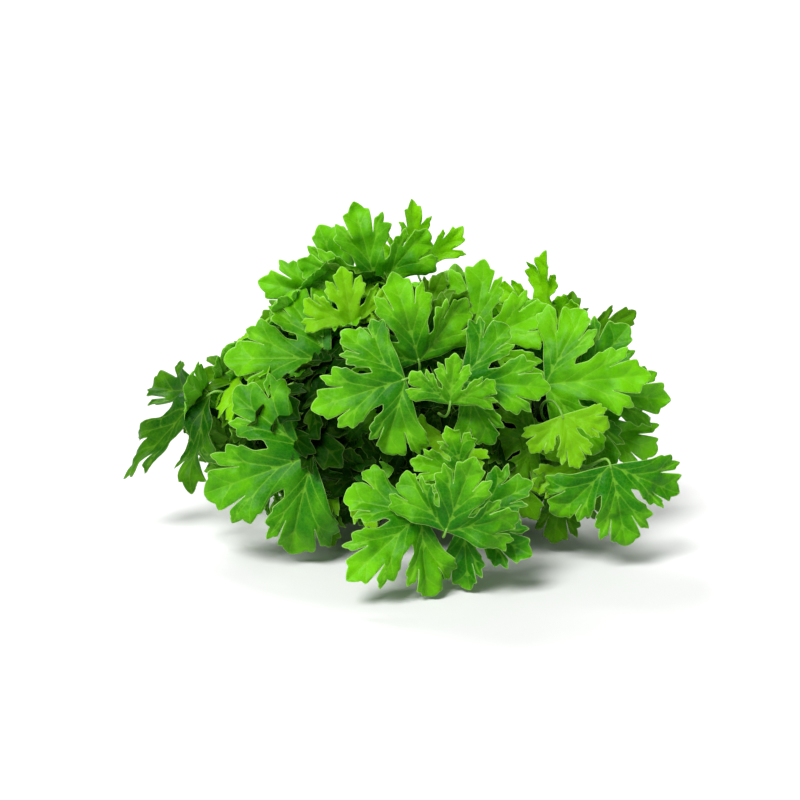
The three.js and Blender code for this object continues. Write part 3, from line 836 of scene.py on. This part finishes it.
def leaf_material(name, deep, bright, through, share, painted_lightness):
    """Leaf tissue: satin above, pale and matt below, with pale veins and rim, and light passing through. Its
    last argument paints shade: below 1 it dims the pale colours and the reflection of the dark and inner
    copies.
    """
    shader = Shader(name)
    settings = bpy.context.scene.parsley_leaves
    vein, margin, under = shader.shade("vein"), shader.shade("margin"), shader.shade("under")
    tone, reach = shader.shade("tone"), shader.shade("reach")
    broad, fine = shader.noise(95), shader.noise(900, 4.0)
    net_line = 1 - shader.cells(620).step(0.02, 0.14)
    # The greens are mixed by random noise, lighter towards the lobes' ends, and by the tone attribute, which
    # varies a little at random and paints light and shade: higher leaves lighter, the inner ones before the
    # middle darker.
    depth = (broad * 1.2 + tone * 0.7 + fine * 0.25 + reach * 0.8 - 1.05).step(0, 1)
    # The pale colours here are dimmed by the last argument: painted shade on the dark and inner copies.
    pale = rgb([c * painted_lightness for c in settings.vein_colour])
    rim = rgb([c * painted_lightness for c in settings.rim_colour])
    field = shader.mix(depth, rgb(deep), rgb(bright))
    field = shader.mix(net_line * 0.07, field, pale)
    near = 1 - vein.step(0.4, 5)
    field = shader.mix(near * 0.1, field, pale)
    line = 1 - vein.step(0.3, 1.15)
    field = shader.mix(line * (0.9 - reach * 0.5) * settings.vein_strength, field, pale)
    field = shader.mix((1 - margin.step(0.03, 0.34)) * 0.7, field, rim)
    low = [c * painted_lightness for c in settings.under_colour]
    below = shader.mix(depth, rgb(low), rgb([c * 1.25 for c in low]))
    below = shader.mix((1 - vein.step(0.5, 1.8)) * 0.45, below, rim)
    colour = shader.mix(under, field, below)
    rough = 0.36 + fine * 0.14 + under * 0.22
    normal = shader.bump(fine * 0.3 - net_line * 0.3 + vein.step(0, 2.5) * 0.4, 0.00022, 0.5)
    body = shader.surface({
        "Base Color": colour, "Roughness": rough, "Normal": normal,
        "IOR": 1.4, "Specular IOR Level": 0.2 * painted_lightness,
    })
    glow = shader.node("ShaderNodeBsdfTranslucent", None, {"Color": rgb(through), "Normal": normal})
    return shader.finish(shader.node("ShaderNodeMixShader", None, {0: share, 1: body, 2: glow}))


def stem_material():
    """Stem tissue: long pale streaks, yellower towards the cut, with a pale pith on the cut face."""
    shader = Shader("stem_tissue")
    settings = bpy.context.scene.parsley_stems
    along, cut, ridge = shader.shade("along"), shader.shade("cut"), shader.shade("ridge")
    streak = shader.noise(1.0, 3.0, shader.stretched((1400, 60, 1400)))
    fine = shader.noise(1600, 3.0)
    skin = (streak * 0.9 + along * 0.5 - 0.3).step(0, 1)
    colour = shader.mix(skin, rgb(settings.pale), rgb(settings.green))
    colour = shader.mix(ridge * 0.4, colour, rgb(settings.pale))
    flesh = shader.mix(cut.step(0.55, 0.95), rgb(settings.pith), rgb(settings.pale))
    colour = shader.mix(cut.step(0.001, 0.002), colour, flesh)
    height = streak * 0.7 + fine * 0.2
    body = shader.surface({
        "Base Color": colour, "Roughness": 0.38 + fine * 0.15,
        "Normal": shader.bump(height, 0.0003, 0.6), "Specular IOR Level": 0.4,
    })
    glow = shader.node("ShaderNodeBsdfTranslucent", None, {"Color": (0.4, 0.6, 0.12, 1)})
    return shader.finish(shader.node("ShaderNodeMixShader", None, {0: 0.15, 1: body, 2: glow}))


def band_material():
    """Natural rubber: dull tan with fine bloom and stretch marks round the loop."""
    shader = Shader("band_rubber")
    settings = bpy.context.scene.parsley_band
    bloom, fine = shader.noise(220), shader.noise(2600, 4.0)
    marks = shader.noise(1.0, 2.0, shader.stretched((90, 2400, 90)))
    light, dark = settings.colour, [c * 0.6 for c in settings.colour]
    colour = shader.mix((bloom * 0.8 + marks * 0.4 - 0.1).step(0, 1), rgb(dark), rgb(light))
    body = shader.surface({
        "Base Color": colour, "Roughness": 0.62 + fine * 0.2,
        "Normal": shader.bump(marks * 0.6 + fine * 0.4, 0.00015, 0.7), "Specular IOR Level": 0.3,
    })
    return shader.finish(body)


def floor_material():
    """A matt white surface with the faintest grain."""
    shader = Shader("floor_white")
    settings = bpy.context.scene.parsley_stage
    grain = shader.noise(40, 4.0)
    light = settings.floor_colour
    colour = shader.mix(grain, rgb([c * 0.985 for c in light]), rgb(light))
    return shader.finish(shader.surface({"Base Color": colour, "Roughness": 0.9, "Specular IOR Level": 0.1}))


# ---- Settings ----

class ParsleyLeaves(bpy.types.PropertyGroup):
    """Sizes and colours of the leaves."""

    thickness: FloatProperty(
        name="Thickness", description="Thickness of a blade", default=0.3 * MM, unit="LENGTH", precision=5,
    )
    spacing: FloatProperty(
        name="Fineness", description="Spacing of a blade's points",
        default=0.95 * MM, unit="LENGTH", precision=5,
    )
    vein_strength: FloatProperty(
        name="Veins", description="How clearly the veins show", default=0.4, min=0, max=1, subtype="FACTOR",
    )
    vein_colour: FloatVectorProperty(
        name="Vein colour", description="Colour of the veins", default=(0.34, 0.72, 0.05), subtype="COLOR",
    )
    rim_colour: FloatVectorProperty(
        name="Rim colour", description="Colour of the margin", default=(0.56, 0.9, 0.22), subtype="COLOR",
    )
    under_colour: FloatVectorProperty(
        name="Under colour", description="Colour of the under side",
        default=(0.18, 0.46, 0.03), subtype="COLOR",
    )
    mid_deep: FloatVectorProperty(
        name="Deep green", description="Darker green of most leaves",
        default=(0.008, 0.14, 0.0005), subtype="COLOR",
    )
    mid_bright: FloatVectorProperty(
        name="Bright green", description="Lighter green of most leaves", default=(0.17, 0.57, 0.001),
        subtype="COLOR",
    )
    inner_count: IntProperty(
        name="Inner leaves", description="Leaves inside the head", default=150, min=0,
    )
    seed: IntProperty(name="Seed", description="Varies the inner leaves", default=7)


class ParsleyStems(bpy.types.PropertyGroup):
    """Sizes and colours of the stems."""

    sides: IntProperty(name="Sides", description="Sides of a stem's section", default=20, min=6)
    thin: IntProperty(name="Thin stems", description="Thin stems between the others", default=9, min=0)
    ridges: IntProperty(name="Ridges", description="Ridges round a stem", default=6, min=0)
    ridge_depth: FloatProperty(
        name="Ridge depth", description="Ridge depth as a share of the radius",
        default=0.07, subtype="FACTOR",
    )
    stalk: FloatProperty(
        name="Stalk radius", description="Radius of a leaf's stalk",
        default=0.6 * MM, unit="LENGTH", precision=5,
    )
    green: FloatVectorProperty(
        name="Green", description="Colour of the skin", default=(0.14, 0.42, 0.03), subtype="COLOR",
    )
    pale: FloatVectorProperty(
        name="Pale", description="Colour of ridges and lower stems",
        default=(0.34, 0.56, 0.12), subtype="COLOR",
    )
    pith: FloatVectorProperty(
        name="Pith", description="Colour of the cut face", default=(0.72, 0.78, 0.5), subtype="COLOR",
    )


class ParsleyBand(bpy.types.PropertyGroup):
    """Sizes and colour of the band."""

    loops: IntProperty(name="Loops", description="How often the band goes round", default=3, min=1)
    colour: FloatVectorProperty(
        name="Colour", description="Colour of the rubber", default=(0.62, 0.42, 0.2), subtype="COLOR",
    )


class ParsleyStage(bpy.types.PropertyGroup):
    """The floor, the light and the camera."""

    elevation: FloatProperty(
        name="Elevation", description="Camera's height angle", default=math.radians(15), subtype="ANGLE",
    )
    distance: FloatProperty(name="Distance", description="Camera's distance", default=0.7, unit="LENGTH")
    lens: FloatProperty(name="Lens", description="Focal length in millimetres", default=80.8)
    key: FloatProperty(name="Key", description="Strength of the key light", default=4.1)
    back: FloatProperty(name="Back", description="Strength of the back light", default=1.8)
    sky: FloatProperty(name="Sky", description="Strength of the light all round", default=0.28)
    floor_colour: FloatVectorProperty(
        name="Floor", description="Colour of the floor", default=(0.76, 0.76, 0.76), subtype="COLOR",
    )


# ---- Pieces ----

def sprig_leaves():
    """Every leaf of the frame: its sprig, its number in it, and its settings, in the order they were laid."""
    number = 0
    for k in range(max(len(row[4]) for row in SPRIGS)):
        for n, (name, _, _, _, leaves) in enumerate(SPRIGS):
            if k >= len(leaves):
                continue
            number += 1
            leaf = dict(zip(LEAF_KEYS, leaves[k]))
            leaf.update(node=f"leaf_{name}_{k + 1}", sprig=n, number=number, phase=math.pi * vary(number, 2))
            leaf.update(length=LEAF_LENGTH * leaf["size"], ripple=RIPPLE * leaf["size"])
            yield leaf


def stem_lines():
    origin = head_origin()
    return [stem_line(ring, turn, end, n, origin) for n, (_, ring, turn, end, _) in enumerate(SPRIGS)]


def stem_radius(share):
    return STEM_RADIUS + (STEM_TIP_RADIUS - STEM_RADIUS) * share


def thin_radius(share):
    return THIN_RADIUS * (1 - 0.3 * share)


def leaf_materials():
    """The leaf tissue's copies, made once: light is painted as if backlit, dark and inner are painted shade,
    and the innermost leaves are the darkest.
    """
    if bpy.data.materials.get("leaf_mid_tissue"):
        return {tone: bpy.data.materials[f"leaf_{tone}_tissue"] for tone in LIT_AND_SHADED_TONES}
    settings = bpy.context.scene.parsley_leaves
    deep, bright = settings.mid_deep, settings.mid_bright
    # Painted light: the light copy's greens go 0.6 of the way to a bright yellow-green, as if backlit.
    # Painted shade: the dark copy's greens are halved and the inner copy's cut to 0.17.
    light = [[c + (l - c) * 0.6 for c, l in zip(tint, (0.34, 0.72, 0.005))] for tint in (deep, bright)]
    dark = [[c * 0.5 for c in tint] for tint in (deep, bright)]
    inner = [[c * 0.17 for c in tint] for tint in (deep, bright)]
    # Each look: the two greens, the colour and share of light passing through, and how much of its pale
    # colours and reflection is kept, lower to paint shade.
    looks = (
        (deep, bright, (0.3, 0.8, 0.004), 0.3, 1),
        (*light, (0.46, 0.92, 0.006), 0.42, 1),
        (*dark, (0.03, 0.45, 0.001), 0.22, 0.5),
        (*inner, (0.005, 0.12, 0.0005), 0.1, 0.14),
    )
    return {tone: leaf_material(f"leaf_{tone}_tissue", *look) for tone, look in zip(LIT_AND_SHADED_TONES, looks)}


def stem_tissue():
    return bpy.data.materials.get("stem_tissue") or stem_material()


def add_stalk(patch, line, wide, narrow):
    """Adds a leaf's stalk to a patch whose second material is stem tissue."""

    def radius(share):
        return wide + (narrow - wide) * share

    points, faces, along = tube(line, radius, sides=10, rings=18, ridges=3, depth=0.08)
    patch.add(points, faces, along=[0.6 + 0.4 * share for share in along])


def finish_piece(piece, slot):
    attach(piece, "root")


def rested(height):
    """A height kept above the floor: what would sink below it lies flat on it."""
    reach = 0.9 * REST_SOFT
    return height if height > REST_SOFT else REST_GAP + reach * math.exp((height - REST_SOFT) / reach)


def grow_leaf(name, flat, leaf, matrix, stalk, tone_and_shade_value, materials):
    """One leaf: its blade and its stalk, in one mesh."""
    settings = bpy.context.scene.parsley_leaves
    stems = bpy.context.scene.parsley_stems
    patch = Patch()
    blade(patch, flat, leaf, matrix, settings.thickness, tone_and_shade_value)
    patch.points = [(x, y, rested(z)) for x, y, z in patch.points]
    of_blade = len(patch.faces)
    add_stalk(patch, stalk, stems.stalk * 1.25, stems.stalk * 0.75)
    indices = [0] * of_blade + [1] * (len(patch.faces) - of_blade)
    tissues = (materials[leaf["tone"]], stem_tissue())
    return new_object(name, patch.points, patch.faces, patch.shades, tissues, indices)


class PARSLEY_OT_stems(bpy.types.Operator):
    """Make the stems of the frame's sprigs and the thin ones between them"""

    bl_idname = "parsley.stems"
    bl_label = "Stems"

    def execute(self, context):
        settings = context.scene.parsley_stems
        tissue = stem_tissue()
        for row, line in zip(SPRIGS, stem_lines()):
            name = "stem_" + row[0]
            piece = self.stem(name + "_grown", line, stem_radius, settings, tissue)
            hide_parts(name)
            finish_piece(piece, "stem")
        origin = head_origin()
        for n in range(settings.thin):
            turn = (n + 0.5) / settings.thin
            way = Vector((math.cos(math.tau * turn), 0.3 * vary(n, 4), math.sin(math.tau * turn)))
            end = Vector((0, 0.1, 0.42)) + Vector((way.x * 0.4, way.y, way.z * 0.16))
            line = stem_line(THIN_RING, turn, end, n + THIN_STEM_NUMBER, origin)
            piece = self.stem(f"thin_stem_{n + 1}", line, thin_radius, settings, tissue)
            finish_piece(piece, "stem")
        return {"FINISHED"}

    @staticmethod
    def stem(name, line, radius_at, settings, tissue):
        """One ridged stem, with a cap of pith over its cut end."""
        patch = Patch()
        sides = settings.sides

        def radius(share):
            return radius_at(share) * (1 + 0.03 * math.sin(share * 31 + len(name)))

        points, faces, along = tube(line, radius, sides, 90, settings.ridges, settings.ridge_depth)
        turns = [settings.ridges * math.tau * (k % sides) / sides for k in range(len(points) - 2)]
        ridge = [0.5 + 0.5 * math.cos(turn) for turn in turns] + [0, 0]
        patch.add(points, faces, along=along, ridge=ridge)
        end = line.at(0)
        proud = line.direction(0) * 0.02 * MM
        inner = end - proud
        ring = [end + (p - end) * 0.97 - proud for p in points[:sides]]
        middle = [inner + (p - inner) * 0.5 for p in ring]
        cap = [(k, k + sides, (k + 1) % sides + sides, (k + 1) % sides) for k in range(sides)]
        cap += [(k + sides, 2 * sides, (k + 1) % sides + sides) for k in range(sides)]
        cut = [1.0] * sides + [0.5] * sides + [0.05]
        patch.add(ring + middle + [inner], cap, cut=cut)
        return new_object(name, patch.points, patch.faces, patch.shades, (tissue,))


class PARSLEY_OT_leaves(bpy.types.Operator):
    """Make the leaves that the frame has solids for"""

    bl_idname = "parsley.leaves"
    bl_label = "Leaves"

    def execute(self, context):
        settings = context.scene.parsley_leaves
        lines = stem_lines()
        materials = leaf_materials()
        for leaf in sprig_leaves():
            axes = leaf_axes(leaf["clock"], leaf["lean"], leaf["roll"])
            base = frame_base(leaf["node"], leaf, axes)
            stem = lines[leaf["sprig"]]
            stalk = stalk_line(stem, leaf["at"], stem_radius(leaf["at"]), base, axes[0])
            flat = FlatLeaf(leaf["form"], leaf["number"], leaf["length"], settings.spacing)
            # Painted light: the higher the leaf's base, the larger this value and the lighter the leaf is
            # painted; a little of it varies at random.
            tone_and_shade_value = base.z / CAD_BOX[1][2] + 0.3 * vary(leaf["number"], 9)
            matrix = placed(axes, base)
            piece = grow_leaf(leaf["node"] + "_grown", flat, leaf, matrix, stalk, tone_and_shade_value, materials)
            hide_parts(leaf["node"])
            finish_piece(piece, "leaf_" + leaf["tone"])
        return {"FINISHED"}


class PARSLEY_OT_inner_leaves(bpy.types.Operator):
    """Make the leaves inside and behind the head, each on a stalk from the nearest stem"""

    bl_idname = "parsley.inner_leaves"
    bl_label = "Inner leaves"

    def execute(self, context):
        settings = context.scene.parsley_leaves
        rng = random.Random(settings.seed)
        origin = head_origin()
        materials = leaf_materials()
        forms = [
            FlatLeaf(form, INNER_FORM_NUMBER + k, LEAF_LENGTH, settings.spacing * 1.4)
            for k, form in enumerate(INNER_FORMS)
        ]
        lines = stem_lines()
        low, high = Vector(CAD_BOX[0]), Vector(CAD_BOX[1])
        for k in range(settings.inner_count):
            out = self.outward(k, settings.inner_count)
            # Before the head's middle the leaves take the inner and dark copies and tone values below 0:
            # painted shade.
            depths, lifts, tones, shades = INNER_BEHIND if out.y > 0.1 else INNER_BEFORE
            depth = rng.uniform(*depths)
            place = INNER_CENTRE + Vector(w * h for w, h in zip(out, INNER_HALF)) * depth
            place.z = max(place.z, INNER_LOWEST)
            size = rng.uniform(*INNER_SIZES)
            away = (place - Vector((0, NECK_Y, NECK_LIFT))).normalized()
            stray = Vector([rng.uniform(-1, 1) for i in range(3)])
            tangent = away + stray * 0.9
            tangent = (tangent - out * tangent.dot(out)).normalized()
            midrib = (tangent + out * rng.uniform(*lifts)).normalized()
            tip = place + origin + midrib * LEAF_LENGTH * size * 1.1
            if tip.z < INNER_TIP_LOWEST:
                midrib.z = abs(midrib.z) * 0.3
                midrib.normalize()
                tip = place + origin + midrib * LEAF_LENGTH * size * 1.1
            if any(tip[i] < low[i] or tip[i] > high[i] for i in range(3)):
                continue
            face = out + Vector((0, -0.15, 0.35)) + stray.yzx * 0.35
            face = (face - midrib * face.dot(midrib)).normalized()
            tone_and_shade_value = rng.uniform(*shades)
            leaf = {
                "size": size, "length": LEAF_LENGTH, "number": INNER_LEAF_NUMBER + k, "ripple": RIPPLE,
                "tone": rng.choice(tones), "phase": math.pi * vary(k, 2),
                "droop": rng.uniform(*INNER_DROOPS), "curl": rng.uniform(*INNER_CURLS),
            }
            matrix = placed((midrib, face.cross(midrib), face), place + origin) @ Matrix.Scale(size, 4)
            share = rng.uniform(*INNER_STALKS)
            stem = min(lines, key=lambda line: (line.at(share) - place - origin).length)
            stalk = stalk_line(stem, share, stem_radius(share), place + origin, midrib)
            flat = forms[k % len(forms)]
            piece = grow_leaf(f"inner_leaf_{k + 1}", flat, leaf, matrix, stalk, tone_and_shade_value, materials)
            finish_piece(piece, "leaf_dark" if leaf["tone"] == "inner" else "leaf_" + leaf["tone"])
        return {"FINISHED"}

    @staticmethod
    def outward(k, count):
        """The way from the head's middle to leaf k, so that the leaves lie evenly round it."""
        height = 1 - INNER_SPAN * (k + 0.5) / count
        turn = GOLDEN_TURN * k
        round_share = math.sqrt(max(0, 1 - height * height))
        return Vector((round_share * math.cos(turn), round_share * math.sin(turn), height))


class PARSLEY_OT_band(bpy.types.Operator):
    """Make the rubber band, wound round the stems"""

    bl_idname = "parsley.band"
    bl_label = "Band"

    def execute(self, context):
        settings = context.scene.parsley_band
        low, high = (Vector(corner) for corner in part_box("band"))
        centre = (low + high) / 2
        outer = (high.x - low.x) / 2
        width = high.y - low.y
        wire = width / settings.loops / 2
        steps, sides = 120, 12
        sway = 0.25 * MM
        points, faces = [], []
        total = steps * settings.loops
        for i in range(total + 1):
            turn = math.tau * i / steps
            along = (i / total - 0.5) * (width - 2 * wire)
            radius = outer - wire * 0.75 + sway * math.sin(5 * turn + 1)
            out = Vector((math.cos(turn), 0, math.sin(turn)))
            middle = centre + out * (radius - sway) + Vector((0, along, 0))
            for k in range(sides):
                section = math.tau * k / sides
                points.append(middle + out * math.cos(section) * wire * 0.7
                              + Vector((0, math.sin(section) * wire * 0.98, 0)))
        for i in range(total):
            for k in range(sides):
                a, b = i * sides + k, i * sides + (k + 1) % sides
                faces.append((a, b, b + sides, a + sides))
        faces.append(tuple(range(sides - 1, -1, -1)))
        faces.append(tuple(total * sides + k for k in range(sides)))
        piece = new_object("band_wound", points, faces, {}, (band_material(),))
        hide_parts("band")
        finish_piece(piece, "band")
        return {"FINISHED"}


class PARSLEY_OT_stage(bpy.types.Operator):
    """Lay the floor and set the light and the camera"""

    bl_idname = "parsley.stage"
    bl_label = "Stage"

    def execute(self, context):
        scene = context.scene
        settings = scene.parsley_stage
        corners = [(x * FLOOR_HALF, y * FLOOR_HALF, 0) for x, y in ((-1, -1), (1, -1), (1, 1), (-1, 1))]
        floor = new_object("floor", corners, [(0, 1, 2, 3)], {}, (floor_material(),))
        floor.location.z = CAD_BOX[0][2] - FLOOR_GAP
        self.sun("key_light", settings.key, KEY_LIGHT)
        self.sun("back_light", settings.back, BACK_LIGHT)
        world = bpy.data.worlds.new("sky")
        world.use_nodes = True
        background = world.node_tree.nodes["Background"]
        background.inputs["Color"].default_value = (1, 1, 1, 1)
        background.inputs["Strength"].default_value = settings.sky
        scene.world = world
        scene.view_settings.view_transform = "Standard"
        self.camera(scene, settings)
        return {"FINISHED"}

    @staticmethod
    def sun(name, strength, row):
        across, tilt, turn = (math.radians(value) for value in row)
        light = bpy.data.lights.new(name, "SUN")
        light.energy = strength
        light.angle = across
        lamp = bpy.data.objects.new(name, light)
        lamp.rotation_euler = (tilt, 0, turn)
        bpy.context.scene.collection.objects.link(lamp)

    @staticmethod
    def camera(scene, settings):
        aim = head_origin() + AIM
        forward = Vector((0, math.cos(settings.elevation), -math.sin(settings.elevation)))
        data = bpy.data.cameras.new("camera")
        data.lens = settings.lens
        data.sensor_width = SENSOR_WIDTH
        data.clip_start = 0.01
        camera = bpy.data.objects.new("camera", data)
        camera.location = aim - forward * settings.distance
        camera.rotation_euler = forward.to_track_quat("-Z", "Y").to_euler()
        scene.collection.objects.link(camera)
        scene.camera = camera


class PARSLEY_PT_panel(bpy.types.Panel):
    """The pieces of the bunch and their settings"""

    bl_idname = "PARSLEY_PT_panel"
    bl_label = "Parsley bunch"
    bl_space_type = "VIEW_3D"
    bl_region_type = "UI"
    bl_category = "Parsley"

    def draw(self, context):
        for operator, group in STEPS:
            box = self.layout.box()
            box.operator(operator.bl_idname)
            settings = getattr(context.scene, group)
            for key in settings.bl_rna.properties.keys():
                if key not in ("rna_type", "name"):
                    box.prop(settings, key)


GROUPS = {
    "parsley_leaves": ParsleyLeaves,
    "parsley_stems": ParsleyStems,
    "parsley_band": ParsleyBand,
    "parsley_stage": ParsleyStage,
}
STEPS = (
    (PARSLEY_OT_stage, "parsley_stage"),
    (PARSLEY_OT_stems, "parsley_stems"),
    (PARSLEY_OT_leaves, "parsley_leaves"),
    (PARSLEY_OT_inner_leaves, "parsley_leaves"),
    (PARSLEY_OT_band, "parsley_band"),
)
CLASSES = (*GROUPS.values(), *(operator for operator, group in STEPS), PARSLEY_PT_panel)


def register():
    for cls in CLASSES:
        bpy.utils.register_class(cls)
    for name, group in GROUPS.items():
        setattr(bpy.types.Scene, name, PointerProperty(type=group))


def unregister():
    for name in GROUPS:
        delattr(bpy.types.Scene, name)
    for cls in reversed(CLASSES):
        bpy.utils.unregister_class(cls)


def main():
    register()
    for operator, group in STEPS:
        section, name = operator.bl_idname.split(".")
        getattr(getattr(bpy.ops, section), name)()
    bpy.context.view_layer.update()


if __name__ == "__main__":
    main()
